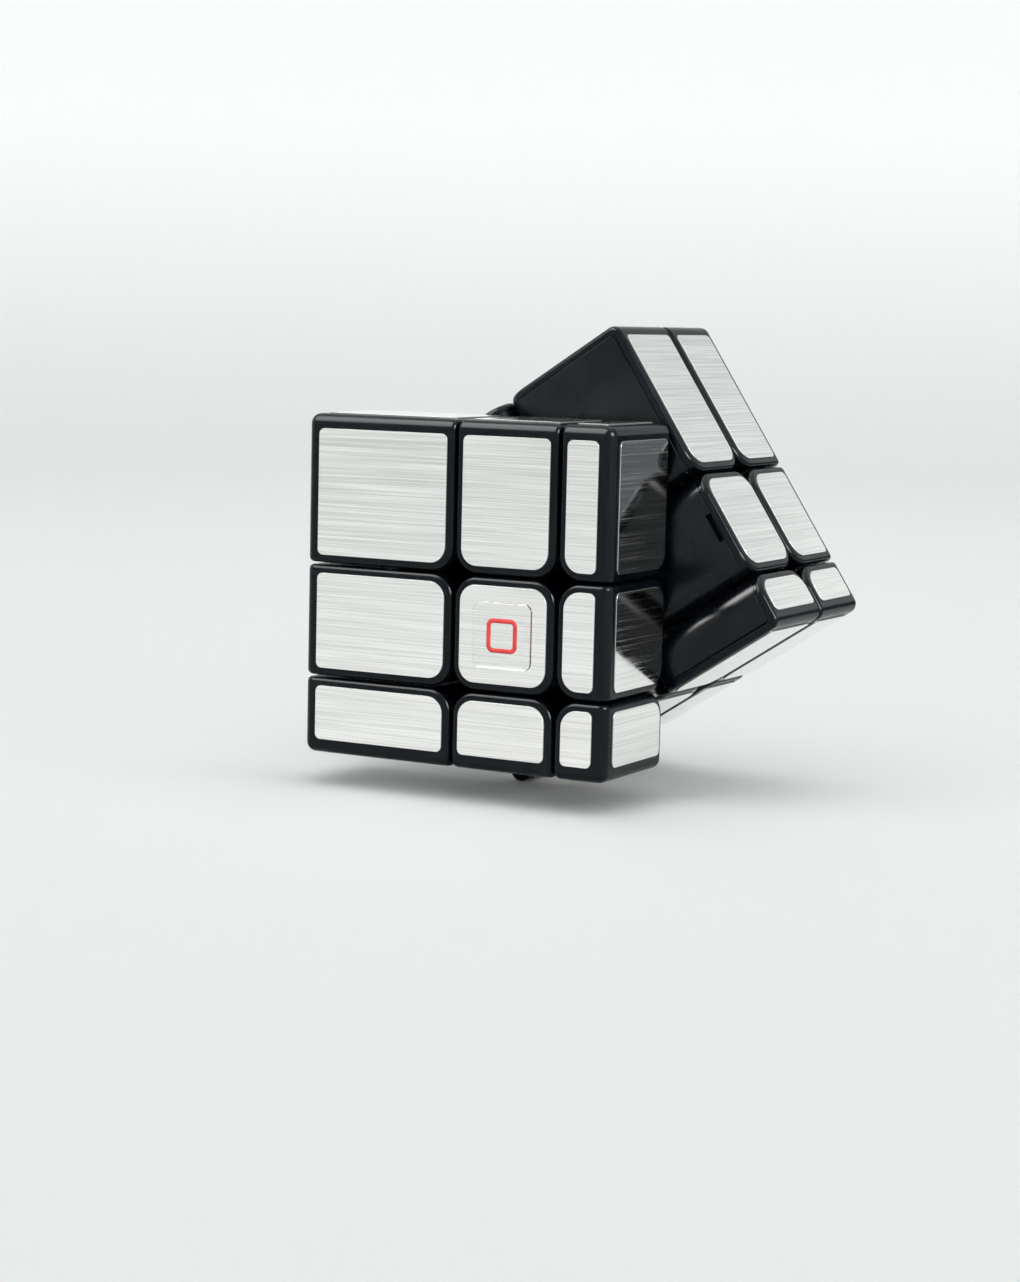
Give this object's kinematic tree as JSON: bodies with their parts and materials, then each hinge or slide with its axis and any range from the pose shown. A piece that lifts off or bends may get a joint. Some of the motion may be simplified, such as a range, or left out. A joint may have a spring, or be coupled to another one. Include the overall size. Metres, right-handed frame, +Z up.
{
  "type": "mirror block puzzle cube",
  "caption": "Part-turned mirror block twisting puzzle with black plastic pieces, brushed silver foils and layers of unequal thickness.",
  "frame": {"origin": "under the middle of the object's outline, at the height of its lowest edge", "axes": "+Z up as displayed, with the front layer upright; +X to the front layer's right; +Y from the front face to the back"},
  "size_m": [0.0776, 0.0578, 0.0776],
  "materials": {
    "cap_plastic": "moulded ABS, semi-gloss black",
    "body_plastic": "moulded ABS, satin black",
    "mirror_foil": "brushed silver foil sticker",
    "badge_resin": "clear domed resin",
    "core_nylon": "moulded natural nylon",
    "screw_steel": "zinc-plated steel",
    "spring_steel": "bright spring steel"
  },
  "bodies": {
    "middle_slice": {"core": "core_nylon", "screws": "screw_steel", "washers": "spring_steel", "springs": "spring_steel", "top_left_edge_body": "body_plastic", "top_centre_body": "body_plastic", "top_right_edge_body": "body_plastic", "left_centre_body": "body_plastic", "right_centre_body": "body_plastic", "bottom_left_edge_body": "body_plastic", "bottom_centre_body": "body_plastic", "bottom_right_edge_body": "body_plastic", "top_left_edge_cap": "cap_plastic", "top_centre_cap": "cap_plastic", "top_right_edge_cap": "cap_plastic", "left_centre_cap": "cap_plastic", "right_centre_cap": "cap_plastic", "bottom_left_edge_cap": "cap_plastic", "bottom_centre_cap": "cap_plastic", "bottom_right_edge_cap": "cap_plastic", "middle_foils": "mirror_foil"},
    "front_layer": {"front_top_left_corner_body": "body_plastic", "front_top_edge_body": "body_plastic", "front_top_right_corner_body": "body_plastic", "front_left_edge_body": "body_plastic", "front_centre_body": "body_plastic", "front_right_edge_body": "body_plastic", "front_bottom_left_corner_body": "body_plastic", "front_bottom_edge_body": "body_plastic", "front_bottom_right_corner_body": "body_plastic", "front_top_left_corner_cap": "cap_plastic", "front_top_edge_cap": "cap_plastic", "front_top_right_corner_cap": "cap_plastic", "front_left_edge_cap": "cap_plastic", "front_centre_cap": "cap_plastic", "front_right_edge_cap": "cap_plastic", "front_bottom_left_corner_cap": "cap_plastic", "front_bottom_edge_cap": "cap_plastic", "front_bottom_right_corner_cap": "cap_plastic", "front_foils": "mirror_foil", "badge": "badge_resin"},
    "back_layer": {"back_top_left_corner_body": "body_plastic", "back_top_edge_body": "body_plastic", "back_top_right_corner_body": "body_plastic", "back_left_edge_body": "body_plastic", "back_centre_body": "body_plastic", "back_right_edge_body": "body_plastic", "back_bottom_left_corner_body": "body_plastic", "back_bottom_edge_body": "body_plastic", "back_bottom_right_corner_body": "body_plastic", "back_top_left_corner_cap": "cap_plastic", "back_top_edge_cap": "cap_plastic", "back_top_right_corner_cap": "cap_plastic", "back_left_edge_cap": "cap_plastic", "back_centre_cap": "cap_plastic", "back_right_edge_cap": "cap_plastic", "back_bottom_left_corner_cap": "cap_plastic", "back_bottom_edge_cap": "cap_plastic", "back_bottom_right_corner_cap": "cap_plastic", "back_foils": "mirror_foil"}
  },
  "joints": [
    {"name": "front_turn", "type": "hinge", "parent": "middle_slice", "child": "front_layer", "pos_m": [0.0002, 0.002, 0.02758], "axis": [0, -1, 0], "continuous": true},
    {"name": "back_turn", "type": "hinge", "parent": "middle_slice", "child": "back_layer", "pos_m": [0.0002, 0.002, 0.02758], "axis": [0, 1, 0], "continuous": true}
  ]
}
